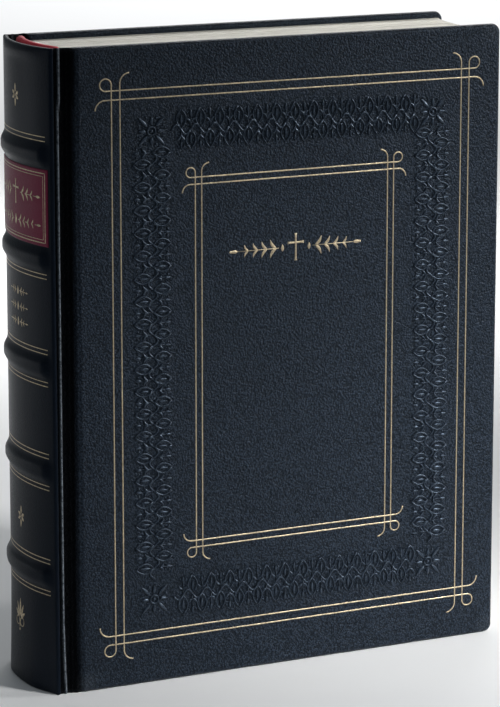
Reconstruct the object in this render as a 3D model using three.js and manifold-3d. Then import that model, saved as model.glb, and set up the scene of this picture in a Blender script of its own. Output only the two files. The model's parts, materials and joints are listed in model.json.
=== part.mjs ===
// A large upright bible, leather over boards, standing on the tail edges of its covers.
// Millimetres, +Z up. The spine is at -X, the fore-edge at +X, and the front cover faces -Y.
// The origin is the centre of the bounding box, at the tail.
import * as THREE from 'three';
import Module from 'manifold-3d';
import { mergeVertices } from 'three/addons/utils/BufferGeometryUtils.js';

const wasm = await Module();
wasm.setup();

// Driving dimensions.
const HEIGHT = 290; // a board, tail to head
const THICKNESS = 60; // over both covers
const FORE_EDGE = 114; // x of the covers' fore-edge
const BOARD_WIDTH = 210;
const SQUARE = 3; // how far the covers stand out past the leaves
const CORNER_RADIUS = 4; // the covers' corners at the fore-edge
const GAP = 0.05; // between pieces that lie on each other

// The layers of a cover, from outside to inside. With the last gap they fill COVER.
const COVER = 5;
const LEATHER = 0.9;
const BOARD = 3;
const TURN_IN = 0.7;
const PASTEDOWN = COVER - LEATHER - BOARD - TURN_IN - GAP;
const TURN_IN_WIDTH = 15;

// The spine is a stack of arcs round one centre. Each is named by its outer radius.
const SPINE_X = -112; // the leather between the bands
const SPINE_ROUND = 5; // how far the spine's middle stands out past its shoulders
const SPINE_HALF = 27.5; // half the chord between the shoulders
const SPINE_RADIUS = (SPINE_HALF ** 2 + SPINE_ROUND ** 2) / (2 * SPINE_ROUND);
const SPINE_CENTRE = SPINE_X + SPINE_RADIUS;
const SPINE_ANGLE = Math.asin(SPINE_HALF / SPINE_RADIUS);
const SPINE_LEATHER = 1.2;
const INLAY = 1.2;
const HOLLOW = 1; // the space that opens as the book does
const LINING = 0.6;
const MULL = 0.5;
const INLAY_RADIUS = SPINE_RADIUS - SPINE_LEATHER - GAP;
const LINING_RADIUS = INLAY_RADIUS - INLAY - HOLLOW;
const MULL_RADIUS = LINING_RADIUS - LINING - GAP;
const FOLDS_RADIUS = MULL_RADIUS - MULL - GAP;

// The raised bands, measured down from the head as parts of the height.
const BANDS = [0.162, 0.321, 0.487, 0.649, 0.815];
const BAND_RISE = 2;
const BAND_HEIGHT = 8;
const BAND_SHOULDER = 1.5; // the slope of the leather at each side of a band
const LABEL = { low: 203, high: 237, thickness: 0.3 };

// The leaves: bundles that each bend near their folds.
const BUNDLES = 12;
const BUNDLES_TURNING = 5; // on each side; the middle ones stay
const LEAVES_HALF = THICKNESS / 2 - COVER;
const FLYLEAF = 0.55;
const FLYLEAF_GAP = 0.05;
const PITCH = (2 * (LEAVES_HALF - FLYLEAF - FLYLEAF_GAP)) / BUNDLES;
const BEND_X = -93.4; // where the leaves turn
const BEND_LENGTH = 14; // the bundles thin towards the bend over this length
const BEND_TIP = 0.4;
const FORE_ROUND = 4; // how deep the fore-edge is hollowed, as the spine is rounded
const FOLDS_FRONT = -94;
const SHOULDER = { root: -97, tip: -102, half: 27 };
const ENDBAND = { height: 2.6, width: 3 };

const MATERIALS = {
  leather: { color: 0x0c1119, roughness: 0.45, metalness: 0 },
  label: { color: 0x50232f, roughness: 0.5, metalness: 0 },
  board: { color: 0x8a7a66, roughness: 0.9, metalness: 0 },
  card: { color: 0xb3a68f, roughness: 0.9, metalness: 0 },
  endpaper: { color: 0xe9e3d6, roughness: 0.85, metalness: 0 },
  leaves: { color: 0xe2dfd8, roughness: 0.6, metalness: 0 },
  cloth: { color: 0xcfc6b4, roughness: 0.95, metalness: 0 },
  endband: { color: 0xc02536, roughness: 0.6, metalness: 0 },
};

const group = new THREE.Group();

function add(name, geometry, material) {
  const mesh = new THREE.Mesh(geometry, new THREE.MeshStandardMaterial(MATERIALS[material]));
  mesh.name = name;
  group.add(mesh);
}

// A closed outline in X and Y, carried from one height to another.
function upright(points, bottom, top) {
  const shape = new THREE.Shape(points.map(([x, y]) => new THREE.Vector2(x, y)));
  const geometry = new THREE.ExtrudeGeometry(shape, { depth: top - bottom, bevelEnabled: false });
  return geometry.translate(0, 0, bottom);
}

// An arc of the spine at one radius, from the front shoulder to the back one.
function spineArc(radius, halfAngle = SPINE_ANGLE, steps = 12) {
  return Array.from({ length: steps + 1 }, (_, i) => {
    const angle = halfAngle * ((2 * i) / steps - 1);
    return [SPINE_CENTRE - radius * Math.cos(angle), radius * Math.sin(angle)];
  });
}

function spineLayer(radius, thickness, bottom, top, halfAngle = SPINE_ANGLE) {
  const outer = spineArc(radius, halfAngle);
  const inner = spineArc(radius - thickness, halfAngle).reverse();
  return upright([...outer, ...inner], bottom, top);
}

// A flat sheet of a cover between two depths, with round corners at the fore-edge.
function coverSheet(left, right, bottom, top, outside, inside, radius) {
  const shape = new THREE.Shape();
  shape.moveTo(left, bottom);
  shape.lineTo(right - radius, bottom);
  shape.absarc(right - radius, bottom + radius, radius, -Math.PI / 2, 0);
  shape.lineTo(right, top - radius);
  shape.absarc(right - radius, top - radius, radius, 0, Math.PI / 2);
  shape.lineTo(left, top);
  shape.closePath();
  const options = { depth: inside - outside, bevelEnabled: false, curveSegments: 5 };
  const geometry = new THREE.ExtrudeGeometry(shape, options);
  return geometry.rotateX(Math.PI / 2).translate(0, inside, 0);
}

function toSolid(geometry) {
  const bare = geometry.clone();
  bare.deleteAttribute('normal');
  bare.deleteAttribute('uv');
  const merged = mergeVertices(bare, 1e-4);
  const vertProperties = new Float32Array(merged.attributes.position.array);
  const triVerts = new Uint32Array(merged.index.array);
  return new wasm.Manifold(new wasm.Mesh({ numProp: 3, vertProperties, triVerts }));
}

function toGeometry(solid) {
  const { vertProperties, triVerts } = solid.getMesh();
  const geometry = new THREE.BufferGeometry();
  geometry.setAttribute('position', new THREE.BufferAttribute(vertProperties, 3));
  geometry.setIndex(new THREE.BufferAttribute(triVerts, 1));
  geometry.computeVertexNormals();
  return geometry;
}

// Turns a piece of the front half into its twin on the back half.
function toBack(geometry) {
  const twin = geometry.index ? geometry.toNonIndexed() : geometry.clone();
  const { position } = twin.attributes;
  for (let i = 0; i < position.count; i += 3) {
    const corners = [0, 1, 2].map((k) => new THREE.Vector3().fromBufferAttribute(position, i + k));
    [corners[0], corners[2], corners[1]].forEach((p, k) => position.setXYZ(i + k, p.x, -p.y, p.z));
  }
  twin.computeVertexNormals();
  return twin;
}

function addPair(name, geometry, material) {
  add(`front_${name}`, geometry, material);
  add(`back_${name}`, toBack(geometry), material);
}

function makeCovers() {
  const left = FORE_EDGE - BOARD_WIDTH;
  const face = -THICKNESS / 2;
  const boardOut = face + LEATHER;
  const boardIn = boardOut + BOARD;
  const turnIn = boardIn + TURN_IN;
  const right = FORE_EDGE - LEATHER;
  const skin = coverSheet(left, FORE_EDGE, 0, HEIGHT, face, turnIn, CORNER_RADIUS);
  const inset = LEATHER + GAP;
  const pocket = coverSheet(
    left + LEATHER, right, LEATHER, HEIGHT - LEATHER, boardOut, boardIn, CORNER_RADIUS - LEATHER,
  );
  const window = coverSheet(
    left + LEATHER, FORE_EDGE - TURN_IN_WIDTH, TURN_IN_WIDTH, HEIGHT - TURN_IN_WIDTH,
    boardIn - BOARD / 2, turnIn + 1, 1,
  );
  const shell = toSolid(skin).subtract(toSolid(pocket)).subtract(toSolid(window));
  addPair('cover_leather', toGeometry(shell), 'leather');
  const board = coverSheet(
    left + inset, FORE_EDGE - inset, inset, HEIGHT - inset,
    boardOut + GAP, boardIn - GAP, CORNER_RADIUS - inset,
  );
  addPair('board', board, 'board');
  const edge = TURN_IN_WIDTH + GAP;
  const infill = coverSheet(
    left + inset, FORE_EDGE - edge, edge, HEIGHT - edge, boardIn, turnIn, 1,
  );
  addPair('infill', infill, 'card');
  const lined = turnIn + GAP;
  const pastedown = coverSheet(
    left + SQUARE, FORE_EDGE - SQUARE, SQUARE, HEIGHT - SQUARE, lined, lined + PASTEDOWN - GAP, 1,
  );
  addPair('pastedown', pastedown, 'endpaper');
}

// The leather in a groove: down from the board's edge, and up on to the shoulder.
function makeJointLeathers() {
  const thickness = 0.7;
  const top = [[-96.3, -29.9], [-98.4, -28.9], [-101, -28.3], [-103.8, -29.1], [-106.6, -28.5]];
  const bottom = top.map(([x, y]) => [x, y + thickness]).reverse();
  addPair('joint_leather', upright([...top, ...bottom].reverse(), SQUARE, HEIGHT - SQUARE), 'leather');
}

function bandRise(z) {
  const nearest = Math.min(...BANDS.map((part) => Math.abs(z - HEIGHT * (1 - part))));
  const slope = (BAND_HEIGHT / 2 + BAND_SHOULDER - nearest) / BAND_SHOULDER;
  return BAND_RISE * THREE.MathUtils.clamp(slope, 0, 1);
}

// The spine's leather: a shell whose outside and inside both rise over the bands.
function makeSpineLeather() {
  const ends = BANDS.flatMap((part) => {
    const middle = HEIGHT * (1 - part);
    const flat = BAND_HEIGHT / 2;
    return [-flat - BAND_SHOULDER, -flat, flat, flat + BAND_SHOULDER].map((step) => middle + step);
  });
  const heights = [0, ...ends.sort((a, b) => a - b), HEIGHT];
  const steps = 12;
  const ring = heights.map((z) => [
    ...spineArc(SPINE_RADIUS + bandRise(z), SPINE_ANGLE, steps),
    ...spineArc(SPINE_RADIUS - SPINE_LEATHER + bandRise(z), SPINE_ANGLE, steps).reverse(),
  ].map(([x, y]) => [x, y, z]));
  const around = ring[0].length;
  const index = [];
  for (let row = 0; row < heights.length - 1; row += 1) {
    for (let i = 0; i < around; i += 1) {
      const a = row * around + i;
      const b = row * around + ((i + 1) % around);
      index.push(a, a + around, b, b, a + around, b + around);
    }
  }
  const last = (heights.length - 1) * around;
  for (let i = 0; i < steps; i += 1) {
    const near = [i, i + 1, around - 1 - i, around - 2 - i];
    const [a, b, c, d] = near;
    index.push(a, b, c, b, d, c);
    index.push(last + a, last + c, last + b, last + b, last + c, last + d);
  }
  const geometry = new THREE.BufferGeometry();
  geometry.setAttribute('position', new THREE.Float32BufferAttribute(ring.flat(2), 3));
  geometry.setIndex(index);
  geometry.computeVertexNormals();
  add('spine_leather', geometry, 'leather');
}

function makeSpine() {
  makeSpineLeather();
  const bottom = SQUARE;
  const top = HEIGHT - SQUARE;
  add('spine_inlay', spineLayer(INLAY_RADIUS, INLAY, bottom, top), 'card');
  add('spine_lining', spineLayer(LINING_RADIUS, LINING, bottom, top), 'card');
  add('spine_mull', spineLayer(MULL_RADIUS, MULL, bottom + 10, top - 10), 'cloth');
  BANDS.forEach((part, i) => {
    const middle = HEIGHT * (1 - part);
    const reach = BAND_HEIGHT / 2 - GAP;
    const band = spineLayer(
      INLAY_RADIUS + BAND_RISE, BAND_RISE - GAP, middle - reach, middle + reach, SPINE_ANGLE * 0.96,
    );
    add(`raised_band_${i + 1}`, band, 'board');
  });
  const labelRadius = SPINE_RADIUS + GAP + LABEL.thickness;
  const label = spineLayer(labelRadius, LABEL.thickness, LABEL.low, LABEL.high, SPINE_ANGLE * 0.97);
  add('spine_label', label, 'label');
}

// The folds of all the sections, glued and rounded, with a shoulder at each side.
function makeSewnSpine() {
  const front = [[FOLDS_FRONT, -LEAVES_HALF], [SHOULDER.root, -LEAVES_HALF]];
  front.push([SHOULDER.tip, -SHOULDER.half]);
  const back = front.map(([x, y]) => [x, -y]).reverse();
  const folds = spineArc(FOLDS_RADIUS, SPINE_ANGLE * 0.98);
  const outline = [...front, ...folds, ...back];
  add('sewn_spine', upright(outline, SQUARE, HEIGHT - SQUARE), 'leaves');
}

function makeEndbands() {
  const radius = FOLDS_RADIUS - 1;
  const angle = SPINE_ANGLE * 0.86;
  const top = HEIGHT - SQUARE + GAP;
  const low = SQUARE - GAP;
  add('headband', spineLayer(radius, ENDBAND.width, top, top + ENDBAND.height, angle), 'endband');
  add('tailband', spineLayer(radius, ENDBAND.width, low - ENDBAND.height, low, angle), 'endband');
}

function makeLeaves() {
  const fore = FORE_EDGE - SQUARE;
  const bottom = SQUARE;
  const top = HEIGHT - SQUARE;
  const outer = -LEAVES_HALF;
  const flyleaf = [[BEND_X, outer], [fore, outer], [fore, outer + FLYLEAF], [BEND_X, outer + FLYLEAF]];
  addPair('flyleaf', upright(flyleaf, bottom, top), 'endpaper');
  const half = (PITCH - GAP) / 2;
  for (let i = 0; i < BUNDLES; i += 1) {
    const y = PITCH * (i + 0.5 - BUNDLES / 2);
    const turns = i < BUNDLES_TURNING || i >= BUNDLES - BUNDLES_TURNING;
    const tip = turns ? BEND_TIP / 2 : half;
    const edge = fore - FORE_ROUND * (1 - (y / LEAVES_HALF) ** 2);
    const outline = [
      [BEND_X, y - tip], [BEND_X + BEND_LENGTH, y - half], [edge, y - half],
      [edge, y + half], [BEND_X + BEND_LENGTH, y + half], [BEND_X, y + tip],
    ];
    add(`section_${String(i + 1).padStart(2, '0')}`, upright(outline, bottom, top), 'leaves');
  }
}

makeCovers();
makeJointLeathers();
makeSpine();
makeSewnSpine();
makeEndbands();
makeLeaves();

export default group;
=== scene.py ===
"""The looks of a large leather-bound bible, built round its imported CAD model.

Everything is in metres, +Z up: the spine at -X, the fore-edge at +X, and the front cover facing -Y.
"""

import json
import math
import random

import bmesh
import bpy
import numpy as np
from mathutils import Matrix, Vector

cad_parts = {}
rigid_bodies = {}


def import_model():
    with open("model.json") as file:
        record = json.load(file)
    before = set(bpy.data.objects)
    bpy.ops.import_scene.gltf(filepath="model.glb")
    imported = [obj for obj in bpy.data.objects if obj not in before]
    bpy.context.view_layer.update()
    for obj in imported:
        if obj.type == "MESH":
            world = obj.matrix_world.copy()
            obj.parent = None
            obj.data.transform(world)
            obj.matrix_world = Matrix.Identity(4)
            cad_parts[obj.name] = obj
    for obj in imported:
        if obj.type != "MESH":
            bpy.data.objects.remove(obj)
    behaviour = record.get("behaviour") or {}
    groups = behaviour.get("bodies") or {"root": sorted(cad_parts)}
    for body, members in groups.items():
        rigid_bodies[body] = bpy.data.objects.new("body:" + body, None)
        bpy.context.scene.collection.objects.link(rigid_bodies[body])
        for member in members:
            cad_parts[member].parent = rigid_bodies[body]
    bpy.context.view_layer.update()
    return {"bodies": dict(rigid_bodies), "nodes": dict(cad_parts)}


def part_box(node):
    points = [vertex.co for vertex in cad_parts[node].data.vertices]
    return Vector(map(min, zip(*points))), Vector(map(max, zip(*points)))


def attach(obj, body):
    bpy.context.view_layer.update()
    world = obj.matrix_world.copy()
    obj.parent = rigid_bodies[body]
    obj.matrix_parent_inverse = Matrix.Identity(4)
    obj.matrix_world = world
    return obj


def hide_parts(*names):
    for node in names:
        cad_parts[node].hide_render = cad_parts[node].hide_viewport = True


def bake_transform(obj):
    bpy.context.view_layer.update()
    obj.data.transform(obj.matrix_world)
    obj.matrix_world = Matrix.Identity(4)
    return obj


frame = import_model()

MM = 0.001
SPINE_BODY = "spine_and_block"

# Places that come from the CAD pieces.
COVER_LOW, COVER_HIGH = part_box("front_cover_leather")
BLOCK_LOW, BLOCK_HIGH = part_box("section_06")
LABEL_LOW, LABEL_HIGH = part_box("spine_label")
BAND_HEIGHTS = []
for number in range(1, 6):
    band_low, band_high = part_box(f"raised_band_{number}")
    BAND_HEIGHTS.append((band_low.z + band_high.z) / 2)
HEIGHT = COVER_HIGH.z
FRONT = COVER_LOW.y
COVER_IN = COVER_HIGH.y
BOARD_X = COVER_LOW.x
FORE_X = COVER_HIGH.x

# The spine's round: an arc through both shoulders.
SPINE_ROUND = 5 * MM
SPINE_HALF = 27.5 * MM
SPINE_X = LABEL_LOW.x + 0.35 * MM  # the leather's outer face, under the label
SPINE_RADIUS = (SPINE_HALF**2 + SPINE_ROUND**2) / (2 * SPINE_ROUND)
SPINE_CENTRE = SPINE_X + SPINE_RADIUS
SPINE_ANGLE = math.asin(SPINE_HALF / SPINE_RADIUS)
BAND_RISE = 2 * MM
BAND_FLAT = 1.4 * MM
BAND_SLOPE = 5.0 * MM
HEAD_BULGE = 0.8 * MM
TAIL_FLARE = 2.2 * MM
TAIL_FLARE_HEIGHT = 0.3 * HEIGHT
SPINE_THICKNESS = 1.1 * MM
CAP_THICKNESS = 2.6 * MM  # at head and tail, where the leather is turned in
CAP_REACH = 6 * MM
CAP_EDGE = 1.1 * MM
SHOULDER_ROUND = 1.3 * MM


# ------------------------ camera and light

CAMERA_AZIMUTH = -25.0
CAMERA_ELEVATION = 10.9
CAMERA_TARGET = Vector((1.2, 0, 189.7)) * MM
CAMERA_DISTANCE = 1.397
CAMERA_LENS = 155.7
CAMERA_SHIFT = -0.15


def add_object(name, data):
    added = bpy.data.objects.new(name, data)
    bpy.context.scene.collection.objects.link(added)
    return added


def aim(viewer, place, direction):
    """Puts a camera or a light at place, facing along direction."""
    viewer.location = place
    viewer.rotation_mode = "QUATERNION"
    viewer.rotation_quaternion = direction.to_track_quat("-Z", "Y")


def add_camera():
    """Looks at the front cover and the spine from a little above, as the photograph does."""
    data = bpy.data.cameras.new("camera")
    camera = add_object("camera", data)
    bpy.context.scene.camera = camera
    azimuth, elevation = math.radians(CAMERA_AZIMUTH), math.radians(CAMERA_ELEVATION)
    back = Vector((
        math.sin(azimuth) * math.cos(elevation),
        -math.cos(azimuth) * math.cos(elevation),
        math.sin(elevation),
    ))
    aim(camera, CAMERA_TARGET + back * CAMERA_DISTANCE, -back)
    data.sensor_width = 36
    data.lens = CAMERA_LENS
    data.shift_y = CAMERA_SHIFT
    data.clip_start = 0.05
    data.clip_end = 50


# Soft boxes: name, place, target, size, watts, and spread in degrees. A spread below 180 is a grid
# on the front, which narrows the beam. The one behind lights the floor and shows in the leather's
# edges, the one on the right lights the front cover, the far one brings out its grain and tooling,
# and the last one lights the spine.
SOFT_BOXES = (
    ("softbox_behind", (1.5, 2.7, 1.7), (1.3, 2.5, 0), (1.8, 2.4), 48, 180),
    ("grid_right", (0.74, -0.97, 0.68), (0.10, -0.03, 0.02), (0.20, 0.20), 0.55, 26),
    ("grid_far_right", (1.14, -0.40, 0.62), (-0.04, -0.03, 0.20), (0.10, 0.10), 0.2, 30),
    ("grid_left_behind", (-0.78, 0.75, 0.12), (-0.11, 0, 0.17), (0.2, 0.2), 0.03, 70),
)
# Square lamps that face straight down beside and behind the book: name, x, y, height, size, watts.
FLOOR_LAMPS = (
    ("floor_left", -0.75, 0.35, 0.7, 0.3, 0.35),
    ("floor_left_behind", -0.40, 0.85, 0.8, 0.4, 0.15),
    ("floor_behind", 0.3, 0.8, 0.9, 0.5, 2.0),
)
FLOOR_LAMP_SPREAD = 70
ROOM_COLOUR = (0.84, 0.93, 1.0, 1)
ROOM_STRENGTH = 0.18
FLOOR_HALF = 12.0


def add_area_light(name, place, target, size, power, spread):
    data = bpy.data.lights.new(name, "AREA")
    data.shape = "RECTANGLE"
    data.size, data.size_y = size
    data.energy = power
    data.spread = math.radians(spread)
    light = add_object(name, data)
    light.visible_camera = False
    aim(light, place, Vector(target) - Vector(place))


def add_studio():
    """A dim room with soft boxes, over a wide pale floor."""
    scene = bpy.context.scene
    scene.view_settings.view_transform = "Standard"
    scene.view_settings.look = "None"
    world = bpy.data.worlds.new("studio")
    scene.world = world
    world.use_nodes = True
    background = world.node_tree.nodes["Background"]
    background.inputs["Color"].default_value = ROOM_COLOUR
    background.inputs["Strength"].default_value = ROOM_STRENGTH
    for soft_box in SOFT_BOXES:
        add_area_light(*soft_box)
    for name, x, y, height, size, power in FLOOR_LAMPS:
        add_area_light(name, (x, y, height), (x, y, 0), (size, size), power, FLOOR_LAMP_SPREAD)
    corners = [(x * FLOOR_HALF, y * FLOOR_HALF, 0) for x, y in ((-1, -1), (1, -1), (1, 1), (-1, 1))]
    floor = add_mesh("floor", corners, [(0, 1, 2, 3)], floor_material(), smooth=False)


# ------------------------ node helpers

def new_material(name):
    """A material with its node tree and its main shader."""
    material = bpy.data.materials.new(name)
    material.use_nodes = True
    tree = material.node_tree
    return material, tree, tree.nodes["Principled BSDF"]


def feed(tree, socket, value):
    """Gives an input a plain value, or links it to another node's output."""
    if isinstance(value, bpy.types.NodeSocket):
        tree.links.new(value, socket)
    else:
        socket.default_value = value


def connect(tree, node, **inputs):
    """Feeds a node's inputs, each named with underscores for its spaces."""
    for key, value in inputs.items():
        feed(tree, node.inputs[key.replace("_", " ")], value)


def add_node(tree, kind, settings=(), **inputs):
    node = tree.nodes.new(kind)
    for key, value in dict(settings).items():
        setattr(node, key, value)
    connect(tree, node, **inputs)
    return node


def coordinates(tree, scale=(1, 1, 1), source="Object"):
    """Places on the object, or in its UV map, stretched by scale."""
    places = add_node(tree, "ShaderNodeTexCoord").outputs[source]
    return add_node(tree, "ShaderNodeMapping", Vector=places, Scale=scale).outputs["Vector"]


def noise(tree, vector, scale, detail=2.0, roughness=0.5):
    node = add_node(
        tree, "ShaderNodeTexNoise", Vector=vector, Scale=scale, Detail=detail, Roughness=roughness
    )
    return node.outputs["Fac"]


def round_cells(tree, vector, scale):
    node = add_node(
        tree, "ShaderNodeTexVoronoi", {"feature": "SMOOTH_F1"}, Vector=vector, Scale=scale
    )
    return node.outputs["Distance"]


def math_node(tree, operation, a, b, clamp=False):
    node = add_node(tree, "ShaderNodeMath", {"operation": operation, "use_clamp": clamp})
    feed(tree, node.inputs[0], a)
    feed(tree, node.inputs[1], b)
    return node.outputs[0]


def remap(tree, value, low, high, to_low=0, to_high=1):
    node = add_node(
        tree, "ShaderNodeMapRange",
        Value=value, From_Min=low, From_Max=high, To_Min=to_low, To_Max=to_high,
    )
    return node.outputs["Result"]


def ramp(tree, value, *stops):
    """A colour for each value; a stop is a value and its colour."""
    node = tree.nodes.new("ShaderNodeValToRGB")
    tree.links.new(value, node.inputs["Fac"])
    elements = node.color_ramp.elements
    while len(elements) < len(stops):
        elements.new(0.5)
    for element, (position, colour) in zip(elements, stops):
        element.position = position
        element.color = (*colour, 1)
    return node.outputs["Color"]


def mix_colour(tree, factor, a, b):
    """Mixes two colours; the Mix node's sockets 6, 7 and 2 are its colours A, B and Result."""
    node = add_node(tree, "ShaderNodeMix", {"data_type": "RGBA"}, Factor=factor)
    for socket, value in ((node.inputs[6], a), (node.inputs[7], b)):
        feed(tree, socket, value if isinstance(value, bpy.types.NodeSocket) else (*value, 1))
    return node.outputs[2]


def attribute(tree, name):
    return add_node(tree, "ShaderNodeAttribute", {"attribute_name": name}).outputs["Fac"]


def bump(tree, height, distance):
    node = add_node(tree, "ShaderNodeBump", Height=height, Distance=distance, Strength=1.0)
    return node.outputs["Normal"]


def darker(colour, share):
    return tuple(share * c for c in colour)


# ------------------------ materials

NAVY = (0.0010, 0.0017, 0.0034)
NAVY_LIGHT = (0.0030, 0.0044, 0.0078)
NAVY_MIDDLE = (0.0062, 0.0098, 0.0170)
NAVY_PEBBLE = (0.0170, 0.0245, 0.0380)
BURGUNDY = (0.17, 0.012, 0.036)
BURGUNDY_LIGHT = (0.26, 0.022, 0.064)
# Pale colour of scuffed corners and edges, also used for the painted highlight along the groove's ridge.
WORN_PALE_AND_HIGHLIGHT = (0.36, 0.4, 0.45)
# Painted shade for the groove: a near-black colour, and a specular tint that dims its reflection.
PAINTED_GROOVE_SHADE = (0.0003, 0.0005, 0.0008)
SHINE = (0.6, 0.78, 1.0)
PAINTED_GROOVE_SHADE_SHINE = (0.04, 0.05, 0.07)


def leather_material(name, dark, light, grain, depth, rough, ior, tone=(-0.3, 0.9), wear_and_painted_light=0.0):
    """Grained leather: pebbles of size grain, fine pores and slow changes of colour.

    Its colour goes from dark in the valleys to light on the pebbles, over the tone range of heights.
    Given that amount, the piece's point values make it pale where scuffed at corners and edges, paint a
    highlight along the groove's ridge, and paint shade into the groove, dark and dull.
    """
    material, tree, shader = new_material(name)
    place = coordinates(tree)
    warp = add_node(tree, "ShaderNodeTexNoise", Vector=place, Scale=0.35 / grain, Detail=2.0)
    shifted = add_node(tree, "ShaderNodeVectorMath", {"operation": "MULTIPLY_ADD"})
    for socket, value in zip(shifted.inputs, (warp.outputs["Color"], (grain * 0.8,) * 3, place)):
        feed(tree, socket, value)
    pebbles = round_cells(tree, shifted.outputs["Vector"], 1 / grain)
    creases = noise(tree, place, 0.8 / grain, 4.0, 0.62)
    pores = noise(tree, place, 3.2 / grain, 2.0, 0.6)
    height = math_node(tree, "ADD", math_node(tree, "MULTIPLY", pebbles, -1.0), creases)
    height = math_node(tree, "ADD", height, math_node(tree, "MULTIPLY", pores, 0.35))
    slow = noise(tree, place, 9.0, 3.0)
    colour = mix_colour(tree, remap(tree, slow, 0.35, 0.65), darker(light, 0.75), light)
    colour = mix_colour(tree, remap(tree, height, *tone), dark, colour)
    shine = (*SHINE, 1)
    if wear_and_painted_light:
        # Painted shade: the hollow values turn the groove near black and dim its reflection.
        hollow = attribute(tree, "hollow")
        colour = mix_colour(tree, hollow, colour, PAINTED_GROOVE_SHADE)
        shine = mix_colour(tree, hollow, SHINE, PAINTED_GROOVE_SHADE_SHINE)
        # Scuffing at corners and edges, and the painted highlight along the groove's ridge, make the
        # leather pale.
        patchy = remap(tree, creases, 0.32, 0.6, 0.15, 1)
        patches = math_node(tree, "MULTIPLY", attribute(tree, "wear_and_painted_light"), patchy)
        patches = math_node(tree, "MULTIPLY", patches, wear_and_painted_light, clamp=True)
        colour = mix_colour(tree, patches, colour, WORN_PALE_AND_HIGHLIGHT)
    roughness = remap(tree, noise(tree, place, 1.4 / grain, 2.0), 0.3, 0.7, rough - 0.06, rough + 0.08)
    connect(
        tree, shader, Base_Color=colour, Roughness=roughness, IOR=ior,
        Specular_Tint=shine, Normal=bump(tree, height, depth),
    )
    return material


def gilt_material(name, colour, rough):
    """Gold leaf pressed into leather: soft metal, broken a little by the grain below."""
    material, tree, shader = new_material(name)
    place = coordinates(tree)
    patches = noise(tree, place, 900.0, 3.0, 0.6)
    tone = mix_colour(tree, remap(tree, patches, 0.3, 0.68), darker(colour, 0.5), colour)
    connect(
        tree, shader, Base_Color=tone, Metallic=0.75,
        Roughness=remap(tree, patches, 0.3, 0.7, rough + 0.15, rough),
        Normal=bump(tree, patches, 0.05 * MM),
    )
    return material


def page_edge_material(name, unwrapped):
    """The trimmed edges of the leaves: a pale burnished sheen, with the fine lines of the leaves.

    unwrapped takes the leaves' places from their UV map, which stays with them as they turn.
    """
    material, tree, shader = new_material(name)
    source = "UV" if unwrapped else "Object"
    fine = noise(tree, coordinates(tree, (14, 7000, 14), source), 1.0, 2.0, 0.7)
    broad = noise(tree, coordinates(tree, (6, 900, 6), source), 1.0, 2.0)
    fine_share = math_node(tree, "MULTIPLY", fine, 0.6)
    broad_share = math_node(tree, "MULTIPLY", broad, 0.4)
    lines = math_node(tree, "ADD", fine_share, broad_share)
    colour = ramp(
        tree, lines, (0.28, (0.33, 0.30, 0.23)), (0.5, (0.62, 0.59, 0.51)), (0.75, (0.80, 0.78, 0.72))
    )
    connect(
        tree, shader, Base_Color=colour, Metallic=0.45,
        Roughness=remap(tree, broad, 0.3, 0.7, 0.28, 0.42),
        Normal=bump(tree, lines, 0.06 * MM),
    )
    return material


def paper_material(name, colour, fibre_depth=0.02 * MM):
    """Paper, card or pasteboard: a cloudy colour with fine fibres."""
    material, tree, shader = new_material(name)
    place = coordinates(tree)
    fibres = noise(tree, place, 1500.0, 4.0, 0.6)
    clouds = noise(tree, place, 22.0, 3.0)
    tone = mix_colour(tree, remap(tree, clouds, 0.3, 0.7), darker(colour, 0.93), colour)
    tone = mix_colour(tree, remap(tree, fibres, 0.35, 0.6), darker(colour, 0.9), tone)
    connect(
        tree, shader, Base_Color=tone, Roughness=0.85, Specular_IOR_Level=0.25,
        Normal=bump(tree, fibres, fibre_depth),
    )
    return material


def cloth_material():
    """Open-weave cotton, as glued over the folds."""
    material, tree, shader = new_material("mull_cloth")
    place = coordinates(tree)
    thread = 0.6 * MM
    waves = []
    for direction in ("Y", "Z"):
        wave = add_node(
            tree, "ShaderNodeTexWave", {"bands_direction": direction},
            Vector=place, Scale=0.5 / thread, Distortion=0.6,
        )
        waves.append(wave.outputs["Fac"])
    weave = math_node(tree, "MAXIMUM", *waves)
    colour = ramp(tree, weave, (0.3, (0.42, 0.38, 0.30)), (0.8, (0.78, 0.74, 0.65)))
    connect(
        tree, shader, Base_Color=colour, Roughness=0.95, Sheen_Weight=0.2,
        Normal=bump(tree, weave, 0.15 * MM),
    )
    return material


SILK_DARK = (0.7, 0.008, 0.03)
SILK_LIGHT = (1.0, 0.05, 0.09)


def silk_material():
    """Twisted silk thread of the headbands."""
    material, tree, shader = new_material("red_silk")
    place = coordinates(tree)
    strands = noise(tree, place, 2600.0, 2.0, 0.6)
    colour = mix_colour(tree, remap(tree, strands, 0.3, 0.7), SILK_DARK, SILK_LIGHT)
    connect(
        tree, shader, Base_Color=colour, Roughness=0.42, Sheen_Weight=0.35, Sheen_Roughness=0.4,
        Normal=bump(tree, strands, 0.04 * MM),
    )
    return material


def floor_material():
    material, tree, shader = new_material("pale_floor")
    place = coordinates(tree)
    tone = mix_colour(tree, noise(tree, place, 3.0), (0.86, 0.86, 0.86), (0.88, 0.88, 0.88))
    connect(tree, shader, Base_Color=tone, Roughness=0.9, Specular_IOR_Level=0.1)
    return material


# ------------------------ mesh helpers

def add_mesh(name, points, faces, material, smooth=True):
    mesh = bpy.data.meshes.new(name)
    mesh.from_pydata([tuple(p) for p in points], [], [tuple(f) for f in faces])
    mesh.materials.append(material)
    mesh.polygons.foreach_set("use_smooth", [smooth] * len(mesh.polygons))
    mesh.update()
    return add_object(name, mesh)


def mark(piece, slot, body=None, *replaced):
    """Says what a piece stands for and what it moves with; slot, what it is made of, is not used."""
    if replaced:
        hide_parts(*replaced)
    if body:
        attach(piece, body)


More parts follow.
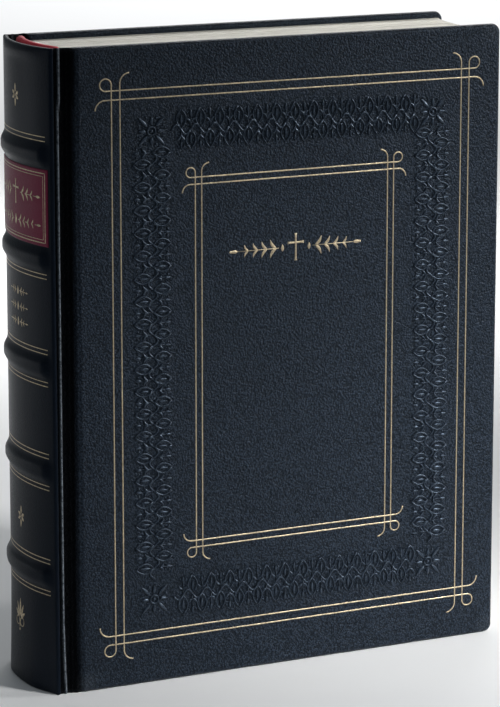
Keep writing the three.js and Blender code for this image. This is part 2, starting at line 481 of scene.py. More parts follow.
def strip_faces(rows, around):
    """Quads between rings of a tube: rings one after another, each with the same number of points."""
    return [
        (r * around + i, r * around + (i + 1) % around,
         (r + 1) * around + (i + 1) % around, (r + 1) * around + i)
        for r in range(rows - 1)
        for i in range(around)
    ]


def end_faces(rows, around):
    """The two faces that close the ends of such a tube."""
    last = (rows - 1) * around
    return [tuple(reversed(range(around))), tuple(range(last, last + around))]


def turn_outwards(piece, join=False):
    """Turns the faces outwards; join first merges points and drops faces of no size."""
    work = bmesh.new()
    work.from_mesh(piece.data)
    if join:
        bmesh.ops.remove_doubles(work, verts=work.verts, dist=1e-6)
        bmesh.ops.dissolve_degenerate(work, edges=work.edges, dist=1e-7)
    bmesh.ops.recalc_face_normals(work, faces=work.faces)
    work.to_mesh(piece.data)
    work.free()


def closed_sheet(name, outer, inner, material):
    """A closed shell between two grids of points; where the grids meet at an edge, it closes there."""
    across, up = outer.shape[:2]
    points = np.concatenate([outer.reshape(-1, 3), inner.reshape(-1, 3)])
    back = across * up
    faces = []
    for i in range(across - 1):
        for k in range(up - 1):
            a, b = i * up + k, (i + 1) * up + k
            faces.append((a, b, b + 1, a + 1))
            faces.append((back + a, back + a + 1, back + b + 1, back + b))
    rim = [i * up for i in range(across)]
    rim += [(across - 1) * up + k for k in range(1, up)]
    rim += [i * up + up - 1 for i in reversed(range(across - 1))]
    rim += list(reversed(range(1, up - 1)))
    faces += [(a, back + a, back + b, b) for a, b in zip(rim, rim[1:] + rim[:1])]
    piece = add_mesh(name, points, faces, material)
    turn_outwards(piece, join=True)
    return piece


def ease(t):
    """From 0 to 1 as t does, level at both ends."""
    t = np.clip(t, 0, 1)
    return t * t * (3 - 2 * t)


def curve_through(x, stops):
    """A smooth line through stops, level at each of them."""
    xs, ys = np.array([s[0] for s in stops]), np.array([s[1] for s in stops])
    x = np.clip(x, xs[0], xs[-1])
    k = np.clip(np.searchsorted(xs, x, side="right") - 1, 0, len(xs) - 2)
    t = (x - xs[k]) / (xs[k + 1] - xs[k])
    return ys[k] + (ys[k + 1] - ys[k]) * ease(t)


def arc(centre, radius, start, end, steps=10):
    """Points round part of a circle; start and end are in degrees."""
    angles = np.radians(np.linspace(start, end, steps + 1))
    return [(centre[0] + radius * math.cos(a), centre[1] + radius * math.sin(a)) for a in angles]


SINK = 0.08 * MM  # how deep a stroke's edges lie below the surface it is on


def heading(degrees):
    """The direction at an angle from across towards up."""
    bearing = math.radians(degrees)
    return np.array([math.cos(bearing), math.sin(bearing)])


class Strokes:
    """Many thin raised lines and small leaves, laid on a surface and joined in one mesh.

    place(u, v, h) gives the point h above the surface at u across and v up.
    """

    def __init__(self, place):
        self.place = place
        self.points = []
        self.faces = []

    def line(self, path, width, height, closed=False):
        """A raised line along path; width is one number, or one for each point."""
        path = np.array(path, float)
        if closed:
            ahead, behind = np.roll(path, -1, 0), np.roll(path, 1, 0)
        else:
            ahead = np.vstack([path[1:], path[-1:]])
            behind = np.vstack([path[:1], path[:-1]])
        along = ahead - behind
        along /= np.linalg.norm(along, axis=1)[:, None]
        side = np.stack([-along[:, 1], along[:, 0]], 1)
        widths = np.broadcast_to(width, len(path))
        start = len(self.points)
        shoulder = 0.75 * height
        section = ((-0.5, -SINK), (-0.34, shoulder), (0, height), (0.34, shoulder), (0.5, -SINK))
        for p, s, w in zip(path, side, widths):
            for across, up in section:
                q = p + s * (across * w)
                self.points.append(self.place(q[0], q[1], up))
        size = len(section)
        rings = len(path)
        total = rings * size
        faces = strip_faces(rings + 1 if closed else rings, size)
        if not closed:
            faces += end_faces(rings, size)
        self.faces += [tuple(start + i % total for i in f) for f in faces]

    def leaf(self, root, tip, width, height, bend=0.0):
        """A solid pointed leaf from root to tip, curved sideways by bend."""
        root, tip = np.array(root, float), np.array(tip, float)
        t = np.linspace(0, 1, 7)
        along = tip - root
        across = np.array([-along[1], along[0]])
        path = root + np.outer(t, along) + np.outer(np.sin(math.pi * t) * bend, across)
        widths = width * np.maximum(np.sin(math.pi * t**0.8) ** 0.85, 0.06)
        self.line(path, widths, height)

    def dot(self, centre, radius, height):
        """A small low dome."""
        start = len(self.points)
        sides = 8
        for ring, up in ((1.0, -SINK), (0.75, height * 0.75)):
            for u, v in arc(centre, radius * ring, 0, 360, sides)[:-1]:
                self.points.append(self.place(u, v, up))
        self.points.append(self.place(centre[0], centre[1], height))
        dome = [(sides + i, sides + (i + 1) % sides, 2 * sides) for i in range(sides)]
        faces = strip_faces(2, sides) + dome + end_faces(2, sides)[:1]
        self.faces += [tuple(start + i for i in f) for f in faces]

    def build(self, name, material):
        """Makes the mesh of every stroke laid so far."""
        piece = add_mesh(name, self.points, self.faces, material)
        turn_outwards(piece)
        return piece


# ------------------------ covers

COVER_EDGE = 1.7 * MM  # the round of the leather over the board's edges
COVER_CORNER = 4 * MM
JOINT_END = -106.4 * MM
JOINT_THICKNESS = 0.9 * MM
JOINT_STEP = 0.3 * MM
CREASE_X = -103.2 * MM
GROOVE_EDGE = -94.6 * MM
GROOVE_SHADE = 3.2 * MM
# The outer face across the groove, (x, y) in mm: a hollow, a thin ridge, the groove, then the board.
GROOVE = [
    (-106.4, -27.9), (-105.2, -27.55), (-104.0, -27.5), (-103.2, -28.4), (-102.4, -27.35),
    (-101.0, -27.5), (-99.0, -28.05), (-97.0, -28.8), (-95.4, -29.4), (-93.6, -29.85), (-91.8, -30.0),
]


def eased_to(start, stop, count):
    """Stations from start to stop that crowd together at stop, for a rounded edge."""
    return start + (stop - start) * np.sin(np.linspace(0, math.pi / 2, count))


def round_corners(x, z):
    """Moves a grid's points onto the cover's rounded corners; returns how far each is from the edge."""
    inset = np.minimum(np.minimum(FORE_X - x, z), HEIGHT - z)
    for sign, level in ((-1, COVER_CORNER), (1, HEIGHT - COVER_CORNER)):
        centre = FORE_X - COVER_CORNER
        a = (x - centre) / COVER_CORNER
        b = sign * (z - level) / COVER_CORNER
        corner = (a > 0) & (b > 0)
        round_a = a * np.sqrt(1 - np.clip(b, 0, 1) ** 2 / 2)
        round_b = b * np.sqrt(1 - np.clip(a, 0, 1) ** 2 / 2)
        x = np.where(corner, centre + COVER_CORNER * round_a, x)
        z = np.where(corner, level + sign * COVER_CORNER * round_b, z)
        inset = np.where(corner, COVER_CORNER * (1 - np.hypot(round_a, round_b)), inset)
    return x, z, inset


def fullness(inset, radius):
    """1 inside a sheet, falling to 0 in a quarter round at its edge."""
    return np.sqrt(np.clip(1 - (1 - np.clip(inset / radius, 0, 1)) ** 2, 0, 1))


def wear_and_painted_highlight(x, z):
    """How pale the leather is made: scuffed at the corners, edges and the joint's foot, and most along
    the groove's ridge, which takes a painted highlight.
    """
    edge = np.minimum(np.minimum(FORE_X - x, z), HEIGHT - z)
    low = np.minimum(z, HEIGHT - z)
    corner = np.clip(1 - np.hypot(FORE_X - x, low) / (9 * MM), 0, 1)
    joint = np.clip(1 - np.hypot(x - BOARD_X - 4 * MM, z - 4 * MM) / (6 * MM), 0, 1)
    # Painted highlight: a pale line along the groove's ridge.
    crease = np.exp(-(((x - crease_shift(z)) - CREASE_X) / (0.4 * MM)) ** 2)
    return 0.1 * np.clip(1 - edge / (2.2 * MM), 0, 1) + 0.35 * corner + 0.3 * joint + 2.5 * crease


def painted_groove_shade_mask(x, z):
    """Painted shade: 1 in the groove, where the leather is painted near black and dull as if in shadow,
    and 0 on its ridge and on the cover.
    """
    level = x - crease_shift(z)
    crease = np.exp(-((level - CREASE_X) / (0.5 * MM)) ** 2)
    return ease((GROOVE_EDGE - level) / GROOVE_SHADE) * (1 - crease)


def crease_shift(z):
    """The ridge in the groove isn't quite straight: it jogs near the head and swings out at the tail."""
    head = 0.7 * MM * ease((z - 262 * MM) / (6 * MM))
    tail = 1.0 * MM * np.clip(1 - z / (34 * MM), 0, 1) ** 1.3
    return head + tail


def cover_faces(x, z):
    """The front cover's outer and inner face at x and z: thin in the joint, a board's depth beyond."""
    shift = crease_shift(z) * (x < BOARD_X - 4 * MM)
    outer = curve_through((x - shift) / MM, GROOVE) * MM
    thin = outer + JOINT_THICKNESS
    return outer, thin + (COVER_IN - thin) * ease((x - (BOARD_X - 1.2 * MM)) / (1.6 * MM))


def add_cover_leather(side, name):
    """The leather of one cover, from the spine's shoulder across the groove and round the board."""
    joint = np.arange(JOINT_END, BOARD_X + 2.6 * MM, JOINT_STEP)
    middle = np.linspace(joint[-1], FORE_X - COVER_CORNER, 30)
    columns = np.concatenate([joint, middle[1:], eased_to(FORE_X - COVER_CORNER, FORE_X, 14)[1:]])
    body = np.linspace(COVER_CORNER, HEIGHT - COVER_CORNER, 48)
    end = eased_to(HEIGHT - COVER_CORNER, HEIGHT, 14)[1:]
    rows = np.concatenate([HEIGHT - end[::-1], body, end])
    x, z, inset = round_corners(*np.meshgrid(columns, rows, indexing="ij"))
    full = fullness(inset, COVER_EDGE)
    outer, inner = cover_faces(x, z)
    middle, half = (outer + inner) / 2, (inner - outer) / 2 * full
    faces = [np.stack([x, side * y, z], 2) for y in (middle - half, middle + half)]
    piece = closed_sheet(name, *faces, MATERIALS["cover"])
    places = np.array([v.co for v in piece.data.vertices])
    # Point values: scuffing plus a painted highlight on the groove's ridge, and painted shade in the
    # groove.
    for label, amount in (("wear_and_painted_light", wear_and_painted_highlight), ("hollow", painted_groove_shade_mask)):
        values = amount(places[:, 0], places[:, 2]).astype(np.float32)
        piece.data.attributes.new(label, "FLOAT", "POINT").data.foreach_set("value", values)
    return piece


def add_joint_paper(side, name, pastedown):
    """The strip of endpaper that lines the joint, from the pastedown's edge down to the folds."""
    low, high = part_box(pastedown)
    x, z = np.meshgrid(
        np.linspace(JOINT_END + 2 * MM, low.x, 34), np.linspace(low.z, high.z, 80), indexing="ij"
    )
    inner = cover_faces(x, z)[1]
    faces = [np.stack([x, side * (inner + gap), z], 2) for gap in (0.03 * MM, 0.18 * MM)]
    return closed_sheet(name, *faces, MATERIALS["endpaper"])


def cover_place(side):
    """Puts tooling on the front cover where side is 1, or on the back where it is -1."""
    return lambda u, v, h: (u, side * (FRONT - h), v)


# ------------------------ spine

HEAD_BULGE_Z, HEAD_BULGE_REACH = HEIGHT - 3.2 * MM, 2.4 * MM


def spine_rise(angle, z):
    """How far the leather stands out of the plain round: bands, head cap and the flare at the tail."""
    to_shoulder = 1 - np.abs(angle) / SPINE_ANGLE
    bands = 0
    for height in BAND_HEIGHTS:
        bands = bands + 1 - ease((np.abs(z - height) - BAND_FLAT) / BAND_SLOPE)
    flare = TAIL_FLARE * np.clip(1 - z / TAIL_FLARE_HEIGHT, 0, 1) ** 1.5
    bulge = HEAD_BULGE * np.exp(-(((z - HEAD_BULGE_Z) / HEAD_BULGE_REACH) ** 2))
    return BAND_RISE * bands * ease(to_shoulder / 0.2) + (flare + bulge) * ease(to_shoulder / 0.6)


def plain_place(u, v, h):
    """The point h above the spine's plain round, u along it from the middle, at height v."""
    angle = u / SPINE_RADIUS
    radius = SPINE_RADIUS + h
    return SPINE_CENTRE - radius * math.cos(angle), -radius * math.sin(angle), v


def spine_place(u, v, h):
    """The same above the spine's leather, over its bands, cap and flare."""
    return plain_place(u, v, float(spine_rise(u / SPINE_RADIUS, v)) + h)


SHOULDER_TURN = math.radians(105)


def spine_outline():
    """The spine leather's cross-section: points, outward directions, and angles for spine_rise."""
    angles = np.linspace(-SPINE_ANGLE, SPINE_ANGLE, 49)
    normals = np.stack([-np.cos(angles), -np.sin(angles)], 1)
    arc_points = np.array([SPINE_CENTRE, 0]) + SPINE_RADIUS * normals
    turn = np.linspace(0, SHOULDER_TURN, 10)[1:]
    centre = arc_points[-1] - SHOULDER_ROUND * normals[-1]
    bearings = math.pi + SPINE_ANGLE + turn
    round_normals = np.stack([np.cos(bearings), np.sin(bearings)], 1)
    round_points = centre + SHOULDER_ROUND * round_normals
    mirror = np.array([1, -1])
    points = np.concatenate([round_points[::-1] * mirror, arc_points, round_points])
    directions = np.concatenate([round_normals[::-1] * mirror, normals, round_normals])
    spare = np.full(len(turn), SPINE_ANGLE)
    return points, directions, np.concatenate([-spare, angles, spare])


def add_spine_leather():
    """The spine's leather in one piece, round both shoulders and over the bands."""
    points, directions, angles = spine_outline()
    end = eased_to(HEIGHT - CAP_EDGE, HEIGHT, 7)[1:]
    body = np.linspace(CAP_EDGE, HEIGHT - CAP_EDGE, 260)
    z = np.concatenate([HEIGHT - end[::-1], body, end])
    to_end = np.minimum(z, HEIGHT - z)
    turned_in = ease((CAP_REACH - to_end) / (CAP_REACH - 1.5 * MM))
    thickness = SPINE_THICKNESS + (CAP_THICKNESS - SPINE_THICKNESS) * turned_in
    rise = spine_rise(angles[:, None], z[None, :])
    at_shoulder = np.abs(angles) >= SPINE_ANGLE
    thickness = np.where(at_shoulder[:, None], SPINE_THICKNESS, thickness[None, :])
    middle = rise - thickness / 2
    half = thickness / 2 * fullness(to_end, CAP_EDGE)[None, :]
    grids = []
    for lift in (middle + half, middle - half):
        grid = np.empty((*lift.shape, 3))
        grid[:, :, :2] = points[:, None] + directions[:, None] * lift[:, :, None]
        grid[:, :, 2] = z
        grids.append(grid)
    return closed_sheet("spine_leather_cover", *grids, MATERIALS["spine"])


BAND_CORE_DEPTH, BAND_CORE_BASE = 1.16 * MM, 1.19 * MM


def add_band_cores():
    """The raised bands' strips of card, which the spine leather is moulded over."""
    u = np.linspace(-0.96, 0.96, 49) * SPINE_ANGLE * SPINE_RADIUS
    for number, height in enumerate(BAND_HEIGHTS, 1):
        z = height + np.linspace(-BAND_FLAT - 0.8 * BAND_SLOPE, BAND_FLAT + 0.8 * BAND_SLOPE, 15)
        outer = np.array([[spine_place(a, b, -BAND_CORE_DEPTH) for b in z] for a in u])
        inner = np.array([[plain_place(a, b, -BAND_CORE_BASE) for b in z] for a in u])
        core = closed_sheet(f"band_core_{number}", outer, inner, MATERIALS["board"])
        mark(core, "board", SPINE_BODY, f"raised_band_{number}")


LABEL_REACH = 0.955 * SPINE_ANGLE * SPINE_RADIUS
LABEL_LIFT = 0.38 * MM
LABEL_PARED = 0.5 * MM


def spread_to_ends(reach, edge, count):
    """Stations from -reach to reach, crowded at both ends for edges that are pared."""
    end = eased_to(reach - edge, reach, 5)
    return np.concatenate([-end[::-1], np.linspace(-reach + edge, reach - edge, count)[1:-1], end])


def add_label():
    """The title label: a thin leather patch pasted on the spine, pared at its edges."""
    middle = (LABEL_LOW.z + LABEL_HIGH.z) / 2
    reach = (LABEL_HIGH.z - LABEL_LOW.z) / 2
    u = spread_to_ends(LABEL_REACH, LABEL_PARED, 40)
    v = middle + spread_to_ends(reach, LABEL_PARED, 30)
    grids = np.empty((2, len(u), len(v), 3))
    for i, along in enumerate(u):
        for k, up in enumerate(v):
            inset = min(LABEL_REACH - abs(along), reach - abs(up - middle))
            lift = LABEL_LIFT * float(fullness(inset, LABEL_PARED))
            grids[0, i, k] = spine_place(along, up, lift)
            grids[1, i, k] = spine_place(along, up, -0.1 * MM)
    return closed_sheet("spine_title_label", *grids, MATERIALS["label"])


ENDBAND_RADIUS = 2.1 * MM
ENDBAND_ROOM = 1.08 * ENDBAND_RADIUS
THREAD_TURNS = 84
THREAD_RISE = 0.07


def add_endband(name, low, high):
    """A headband: silk thread wound round a core, along the rounded folds."""
    level = min(max((low.z + high.z) / 2, ENDBAND_ROOM), HEIGHT - ENDBAND_ROOM)
    centre_radius = SPINE_CENTRE - low.x - ENDBAND_RADIUS
    reach = 0.97 * SPINE_ANGLE
    around = 10
    rings = 4 * THREAD_TURNS + 1
    points = []
    for ring in range(rings):
        share = ring / (rings - 1)
        angle = reach * (2 * share - 1)
        wound = 1 + THREAD_RISE * math.cos(2 * math.pi * THREAD_TURNS * share)
        ends = min(1, math.sin(math.pi * min(1, 0.02 + 12 * min(share, 1 - share)) / 2) + 0.1)
        radius = ENDBAND_RADIUS * wound * ends
        for i in range(around):
            bearing = 2 * math.pi * i / around
            r = centre_radius + radius * math.cos(bearing)
            up = level + radius * math.sin(bearing)
            points.append((SPINE_CENTRE - r * math.cos(angle), -r * math.sin(angle), up))
    faces = strip_faces(rings, around) + end_faces(rings, around)
    piece = add_mesh(name, points, faces, MATERIALS["silk"])
    turn_outwards(piece, join=True)
    return piece


# ------------------------ leaves

FORE_ROUND = 4 * MM
FOLD_X = -94 * MM
LEAF_HALF = 25 * MM
LEAF_THICKNESS = 0.4 * MM
STEP_MOST = 0.13 * MM  # how far one leaf's edge may lie behind the next
BEND_SHARE = 0.17  # the share of a leaf's width, from the folds, given close-set stations
FLYLEAF_BEND_END = FOLD_X + 36 * MM


def fore_edge(y):
    """The fore-edge is hollow, because the folds at the spine are round."""
    return BLOCK_HIGH.x + FORE_ROUND * (y / LEAF_HALF) ** 2


def add_leaves(name, low_y, high_y, seed):
    """A bundle of leaves from the folds to the fore-edge, with edges that step a little."""
    draw = random.Random(seed)
    layers = max(1, round((high_y - low_y) / LEAF_THICKNESS))
    levels = np.linspace(low_y, high_y, layers + 1)
    shares = np.concatenate([np.linspace(0, BEND_SHARE, 15), np.linspace(BEND_SHARE, 1, 8)[1:]])
    points, across = [], []
    for layer in range(layers):
        inset = draw.uniform(0, STEP_MOST)
        low_z, high_z = BLOCK_LOW.z + inset, BLOCK_HIGH.z - inset
        for y in (levels[layer], levels[layer + 1]):
            x = FOLD_X + (fore_edge(y) - inset - FOLD_X) * shares
            points += [(a, y, low_z) for a in x] + [(a, y, high_z) for a in reversed(x)]
            across += [y] * (2 * len(x))
    around = 2 * len(shares)
    rings = 2 * layers
    faces = strip_faces(rings, around)
    edge_faces = len(faces)
    for ring in (0, rings - 1):
        start = ring * around
        for i in range(len(shares) - 1):
            faces.append((start + i, start + i + 1, start + around - 2 - i, start + around - 1 - i))
    piece = add_mesh(name, points, faces, MATERIALS["edges"])
    piece.data.materials.append(MATERIALS["paper"])
    edge_places = piece.data.uv_layers.new(name="edge_places")
    for loop in piece.data.loops:
        x, _, z = points[loop.vertex_index]
        edge_places.data[loop.index].uv = (x + z, across[loop.vertex_index])
    for number, face in enumerate(piece.data.polygons):
        face.use_smooth = number >= edge_faces
        face.material_index = int(number >= edge_faces)
    turn_outwards(piece)
    return piece


def add_flyleaf(name, low, high):
    """The free endpaper, a single stout leaf."""
    bending = np.linspace(FOLD_X, FLYLEAF_BEND_END, 24)
    x = np.concatenate([bending, np.linspace(FLYLEAF_BEND_END, high.x, 10)[1:]])
    z = np.linspace(low.z, high.z, 5)
    grid_x, grid_z = np.meshgrid(x, z, indexing="ij")
    grids = [np.stack([grid_x, np.full_like(grid_x, y), grid_z], 2) for y in (low.y, high.y)]
    return closed_sheet(name, *grids, MATERIALS["endpaper"])


def add_book_block():
    """Every bundle of leaves, with close-set stations where it leaves the folds, and the two flyleaves.
    """
    for number in range(1, 13):
        node = f"section_{number:02d}"
        low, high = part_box(node)
        leaves = add_leaves(f"leaves_{number:02d}", low.y, high.y, number)
        mark(leaves, "leaves", None, node)
        if node in frame["bodies"]:
            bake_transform(leaves)
        else:
            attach(leaves, SPINE_BODY)
    for side in ("front", "back"):
        node = f"{side}_flyleaf"
        flyleaf = add_flyleaf(f"{side}_free_endpaper", *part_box(node))
        mark(flyleaf, "endpaper", None, node)
        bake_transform(flyleaf)


# ------------------------ gilt and blind tooling

GILT_WIDTH = 0.72 * MM
GILT_HEIGHT = 0.07 * MM
BLIND_WIDTH = 0.75 * MM
BLIND_HEIGHT = 0.55 * MM


def curled_line(across, towards, ends, reach, curl):
    """An inner fillet: it runs past the outer one at both ends and curls towards the middle."""
    path = []
    for end, sign in ((ends[0], -1), (ends[1], 1)):
        centre = (across + towards * curl, end + sign * reach)
        start = 180 if towards > 0 else 0
        stop = start - sign * towards * 88
        curve = arc(centre, curl, start, stop)
        path += curve[::-1] if sign < 0 else curve
    return path


def looped_frame(strokes, left, right, low, high, gap, size):
    """Two fillets: the outer one loops outwards at each corner, the inner ones cross it and curl."""
    loop = 2.7 * MM * size
    reach, curl = 3 * MM * size, 4.6 * MM * size
    corners = ((right, high, 1, 1), (right, low, 1, -1), (left, low, -1, -1), (left, high, -1, 1))
    outer = []
    for k, (x, z, out_x, out_z) in enumerate(corners):
        start = 270 - 90 * k
        outer += arc((x + out_x * loop, z + out_z * loop), loop, start, start + 270, 24)
    strokes.line(outer, GILT_WIDTH, GILT_HEIGHT, closed=True)
    for x, towards in ((left + gap, 1), (right - gap, -1)):
        strokes.line(curled_line(x, towards, (low, high), reach, curl), GILT_WIDTH, GILT_HEIGHT)
    for z, towards in ((low + gap, 1), (high - gap, -1)):
        path = curled_line(z, towards, (left, right), reach, curl)
        strokes.line([(b, a) for a, b in path], GILT_WIDTH, GILT_HEIGHT)


# The frames' places, in mm.
OUTER_FRAME = {"left": -79.0, "right": 97.5, "low": 20.4, "high": 270.3, "gap": 4.0}
INNER_FRAME = {"left": -39.4, "right": 59.1, "low": 60.8, "high": 229.7, "gap": 3.1}
BORDER_INSET = 9.2 * MM
BORDER_WIDTH = 19 * MM


def framed(strokes, places, size):
    """A looped frame at places given in mm."""
    looped_frame(strokes, *(value * MM for value in places.values()), size)


def foliate_unit(strokes, place, pitch):
    """One repeat of the blind border: pointed arches with buds between, and drops below them.

    place(s, t) turns s along the border and t in from its outer edge into a point on the cover.
    """
    def ridge(points, width=BLIND_WIDTH):
        strokes.line([place(s * MM, t * MM) for s, t in points], width, BLIND_HEIGHT)

    def leaf(root, tip, width, bend=0.0):
        ends = [place(s * MM, t * MM) for s, t in (root, tip)]
        strokes.leaf(*ends, width * MM, BLIND_HEIGHT, bend=bend)

    def arch(middle, base, tip, half):
        for side in (-1, 1):
            steps = np.linspace(0, 1, 8)
            out = side * half * np.sin(math.pi * np.minimum(1, steps * 1.02)) ** 0.8
            ridge([(middle + o, base + (tip - base) * k) for o, k in zip(out, steps)])

    half = pitch / 2 / MM
    arch(0, 9.2, 0.6, 2.3)
    leaf((0, 7.4), (0, 3.0), 1.5)
    arch(half, 10.2, 18.4, 2.3)
    leaf((half, 12.0), (half, 16.2), 1.4)
    ridge([(half, 8.8), (half, 3.6)], 0.5 * MM)
    leaf((half, 3.8), (half, 0.8), 1.5)
    ridge([(0, 10.6), (0.3, 13.0), (0, 15.4)], 0.5 * MM)
    for side in (-1, 1):
        leaf((half, 7.2), (half + side * 2.3, 4.9), 1.2, 0.15 * side)
        leaf((0, 12.2), (side * 2.2, 14.2), 1.2, -0.15 * side)
        strokes.dot(place((half + side * 1.7) * MM, 2.4 * MM), 0.45 * MM, BLIND_HEIGHT)
        strokes.dot(place(side * 1.4 * MM, 17.0 * MM), 0.45 * MM, BLIND_HEIGHT)
    leaf((0, 15.2), (0, 18.2), 1.3)
    vine = np.linspace(-half, half, 12)
    ridge([(s, 9.7 + 2.2 * math.sin(math.pi * s / half)) for s in vine], 1.0 * MM)


def corner_flower(strokes, x, z):
    """The blind border's corner: eight leaves round a ring."""
    ring = arc((x, z), 1.9 * MM, 0, 360, 20)[:-1]
    strokes.line(ring, BLIND_WIDTH, BLIND_HEIGHT, closed=True)
    strokes.dot((x, z), 0.8 * MM, BLIND_HEIGHT)
    middle = np.array([x, z])
    for k in range(8):
        direction = heading(45 * k)
        length = (8.8 if k % 2 else 6.4) * MM
        tip = middle + direction * length
        strokes.leaf(middle + direction * 2.7 * MM, tip, 1.9 * MM, BLIND_HEIGHT)
        strokes.dot(middle + heading(45 * k + 22) * 6.2 * MM, 0.5 * MM, BLIND_HEIGHT)


def foliate_border(strokes):
    """The blind-tooled band between the two gilt frames."""
    left, right = OUTER_FRAME["left"] * MM + BORDER_INSET, OUTER_FRAME["right"] * MM - BORDER_INSET
    low, high = OUTER_FRAME["low"] * MM + BORDER_INSET, OUTER_FRAME["high"] * MM - BORDER_INSET
    sides = (
        (left, right, 13, lambda s, t: (s, high - t)),
        (left, right, 13, lambda s, t: (s, low + t)),
        (low, high, 19, lambda s, t: (left + t, s)),
        (low, high, 19, lambda s, t: (right - t, s)),
    )
    for start, end, count, place in sides:
        start, end = start + BORDER_WIDTH, end - BORDER_WIDTH
        pitch = (end - start) / count
        for k in range(count):
            middle = start + (k + 0.5) * pitch
            foliate_unit(strokes, lambda s, t, m=middle, p=place: p(m + s, t), pitch)
    half = BORDER_WIDTH / 2
    for x in (left + half, right - half):
        for z in (low + half, high - half):
            corner_flower(strokes, x, z)


def lozenge(strokes, x, z, half_width, half_height):
    """A filled lozenge: a leaf that stands upright."""
    strokes.leaf((x, z - half_height), (x, z + half_height), 2 * half_width, GILT_HEIGHT)


def spray(strokes, x, z, direction, pairs, step, size):
    """A stem with pairs of leaves that grow smaller, ending in a bud."""
    length = direction * step * (pairs + 0.4)
    strokes.line([(x, z), (x + length / 2, z), (x + length, z)], 0.45 * MM, GILT_HEIGHT)
    for k in range(pairs):
        root = x + direction * step * (k + 0.25)
        reach = size * (1 - 0.45 * k / pairs)
        for side in (-1, 1):
            tip = (root + direction * reach * 0.75, z + side * reach)
            strokes.leaf((root, z), tip, 0.42 * reach, GILT_HEIGHT, bend=-0.14 * side * direction)
    strokes.leaf((x + length, z), (x + length + direction * size, z), 0.45 * size, GILT_HEIGHT)


def cross(strokes, x, z, tall, wide, bar):
    """A plain cross with slightly flared ends."""
    flare = np.array([1.5, 1.0, 0.85, 0.85, 1.0, 1.5]) * bar
    shares = np.array([0, 0.08, 0.3, 0.7, 0.92, 1])
    strokes.line([(x, z - tall / 2 + tall * k) for k in shares], flare, GILT_HEIGHT)
    level = z + 0.16 * tall
    strokes.line([(x - wide / 2 + wide * k, level) for k in shares], flare, GILT_HEIGHT)


def fleuron(strokes, z, size):
    """A six-petalled flower on the middle of the spine, longer up and down than across."""
    middle = np.array([0, z])
    strokes.dot(middle, 0.16 * size, GILT_HEIGHT)
    for degrees, reach in ((90, 1.0), (-90, 1.0), (25, 0.74), (155, 0.74), (-25, 0.74), (-155, 0.74)):
        direction = heading(degrees) * size
        root, tip = middle + direction * 0.2, middle + direction * reach
        strokes.leaf(root, tip, 0.4 * size, GILT_HEIGHT)


def palmette(strokes, z, size):
    """A fan of leaves over a pair of scrolls, low on the spine."""
    base = np.array([0, z - 0.35 * size])
    for degrees, reach in ((90, 1.3), (64, 1.1), (116, 1.1), (38, 0.85), (142, 0.85)):
        direction = heading(degrees) * size
        root, tip = base + direction * 0.18, base + direction * reach
        strokes.leaf(root, tip, 0.28 * size, GILT_HEIGHT)
    for side in (-1, 1):
        centre = (side * 0.32 * size, base[1] - 0.12 * size)
        scroll = arc(centre, 0.26 * size, 90 + side * 90, 90 - side * 230, 14)
        strokes.line(scroll, 0.5 * MM, GILT_HEIGHT)
    strokes.dot((0, base[1] - 0.62 * size), 0.1 * size, GILT_HEIGHT)
    lozenge(strokes, 0, base[1] - 0.2 * size, 0.1 * size, 0.3 * size)


def add_cover_tooling(side, body, name):
    """The gilt frames and blind border of one cover, and the ornament of the front one."""
    place = cover_place(side)
    gilt = Strokes(place)
    framed(gilt, OUTER_FRAME, 1.0)
    framed(gilt, INNER_FRAME, 0.82)
    if side > 0:
        add_title_ornament(gilt)
    mark(gilt.build(f"{name}_gilt_tooling", MATERIALS["gilt"]), "gilt", body)
    blind = Strokes(place)
    foliate_border(blind)
    mark(blind.build(f"{name}_blind_border", MATERIALS["blind"]), "leather", body)


def add_title_ornament(gilt):
    """Stands where the real cover has its title: a cross between two sprays of leaves."""
    x, z = 9.9 * MM, 194.6 * MM
    cross(gilt, x, z, 12.5 * MM, 8 * MM, 1.15 * MM)
    for direction in (-1, 1):
        lozenge(gilt, x + direction * 6.6 * MM, z, 0.9 * MM, 1.6 * MM)
        spray(gilt, x + direction * 8.4 * MM, z, direction, 4, 4.6 * MM, 4.2 * MM)
        gilt.dot((x + direction * 32.2 * MM, z), 0.7 * MM, GILT_HEIGHT)


BAND_FILLETS = (6.3 * MM, 8.2 * MM)  # how far the two gilt lines lie from a band's middle


def add_spine_tooling():
    """Fillets on both sides of each band, and an ornament in four of the spine's compartments."""
    gilt = Strokes(spine_place)
    reach = 0.9 * SPINE_ANGLE * SPINE_RADIUS
    across = np.linspace(-reach, reach, 25)
    for number, height in enumerate(BAND_HEIGHTS):
        sides = (1, -1) if number else (1,)  # the label covers the place below the first band
        for side in sides:
            for away in BAND_FILLETS:
                level = height + side * away
                gilt.line([(u, level) for u in across], 0.55 * MM, GILT_HEIGHT)
    head = (BAND_HEIGHTS[0] + HEIGHT) / 2
    fleuron(gilt, head + 0.5 * MM, 5.2 * MM)
    fleuron(gilt, (BAND_HEIGHTS[3] + BAND_HEIGHTS[4]) / 2 - 1.5 * MM, 5 * MM)
    middle = (BAND_HEIGHTS[1] + BAND_HEIGHTS[2]) / 2
    for level in (middle - 7 * MM, middle, middle + 7 * MM):
        lozenge(gilt, 0, level, 1.1 * MM, 2 * MM)
        for direction in (-1, 1):
            spray(gilt, direction * 2 * MM, level, direction, 2, 2.6 * MM, 2 * MM)
    palmette(gilt, 31 * MM, 7.5 * MM)
    mark(gilt.build("spine_gilt_tooling", MATERIALS["gilt"]), "gilt", SPINE_BODY)


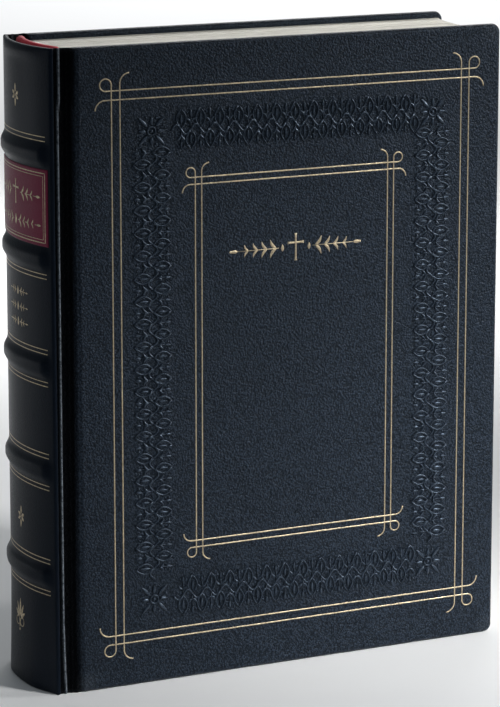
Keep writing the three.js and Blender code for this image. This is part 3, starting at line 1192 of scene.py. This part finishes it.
def add_label_tooling():
    """A double frame round the label, with a cross and sprays of leaves in place of a title."""
    gilt = Strokes(lambda u, v, h: spine_place(u, v, h + LABEL_LIFT))
    low, high = LABEL_LOW.z, LABEL_HIGH.z
    for inset, width in ((1.7 * MM, 0.6 * MM), (3.0 * MM, 0.35 * MM)):
        right, bottom, top = LABEL_REACH - inset, low + inset, high - inset
        across = np.linspace(-right, right, 25)
        up = np.linspace(bottom, top, 9)
        path = [(u, bottom) for u in across] + [(right, v) for v in up[1:-1]]
        path += [(u, top) for u in across[::-1]] + [(-right, v) for v in up[1:-1][::-1]]
        gilt.line(path, width, GILT_HEIGHT, closed=True)
    middle = (low + high) / 2
    upper, lower = middle + 4.5 * MM, middle - 8 * MM
    cross(gilt, 0, upper, 11 * MM, 7 * MM, 1.1 * MM)
    for direction in (-1, 1):
        spray(gilt, direction * 5 * MM, upper, direction, 3, 4 * MM, 3.4 * MM)
        spray(gilt, direction * 2.5 * MM, lower, direction, 4, 3.8 * MM, 3 * MM)
    lozenge(gilt, 0, lower, 1.2 * MM, 2.4 * MM)
    mark(gilt.build("label_gilt_tooling", MATERIALS["gilt"]), "gilt", SPINE_BODY)


# ------------------------ build

def finish_cad_nodes():
    """The CAD pieces that stay in view inside the book get materials of their own."""
    kinds = {
        "spine_inlay": "card", "spine_lining": "card", "spine_mull": "cloth",
        "sewn_spine": "folds", "_board": "board", "_infill": "card",
        "_pastedown": "endpaper",
    }
    for name, node in frame["nodes"].items():
        for part, kind in kinds.items():
            if part in name:
                node.data.materials.clear()
                node.data.materials.append(MATERIALS[kind])


MATERIALS = {
    # The cover's leather takes scuffing, a painted highlight on the groove's ridge and painted shade in
    # the groove.
    "cover": leather_material(
        "cover_leather", NAVY, NAVY_PEBBLE, grain=0.85 * MM, depth=0.30 * MM, rough=0.33,
        ior=1.34, tone=(0.12, 0.52), wear_and_painted_light=0.3,
    ),
    "spine": leather_material(
        "spine_leather", NAVY_LIGHT, NAVY_MIDDLE, grain=0.7 * MM, depth=0.05 * MM, rough=0.34, ior=1.2
    ),
    "blind": leather_material(
        "tooled_leather", NAVY_LIGHT, NAVY_PEBBLE, grain=1.0 * MM, depth=0.03 * MM, rough=0.32, ior=1.7
    ),
    "label": leather_material(
        "label_leather", BURGUNDY, BURGUNDY_LIGHT, grain=0.7 * MM, depth=0.05 * MM, rough=0.36,
        ior=1.22,
    ),
    "gilt": gilt_material("gilt_tooling", (0.66, 0.54, 0.36), 0.34),
    "edges": page_edge_material("page_edges", True),
    "folds": page_edge_material("folded_sections", False),
    "paper": paper_material("leaf_paper", (0.87, 0.85, 0.79)),
    "endpaper": paper_material("endpaper", (0.84, 0.80, 0.71)),
    "board": paper_material("pasteboard", (0.30, 0.25, 0.19), 0.1 * MM),
    "card": paper_material("card", (0.48, 0.41, 0.31), 0.05 * MM),
    "cloth": cloth_material(),
    "silk": silk_material(),
}

add_camera()
add_studio()
finish_cad_nodes()

for side, name in ((1, "front"), (-1, "back")):
    body = f"{name}_cover"
    leather = add_cover_leather(side, f"{name}_leather")
    mark(leather, "leather", None, f"{name}_cover_leather", f"{name}_joint_leather")
    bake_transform(leather)
    lining = add_joint_paper(side, f"{name}_joint_paper", f"{name}_pastedown")
    mark(lining, "endpaper")
    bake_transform(lining)
    add_cover_tooling(side, body, name)

mark(add_spine_leather(), "leather", SPINE_BODY, "spine_leather")
add_band_cores()
mark(add_label(), "label", SPINE_BODY, "spine_label")
for name in ("headband", "tailband"):
    mark(add_endband(f"{name}_silk", *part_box(name)), "endband", SPINE_BODY, name)
add_book_block()
add_spine_tooling()
add_label_tooling()
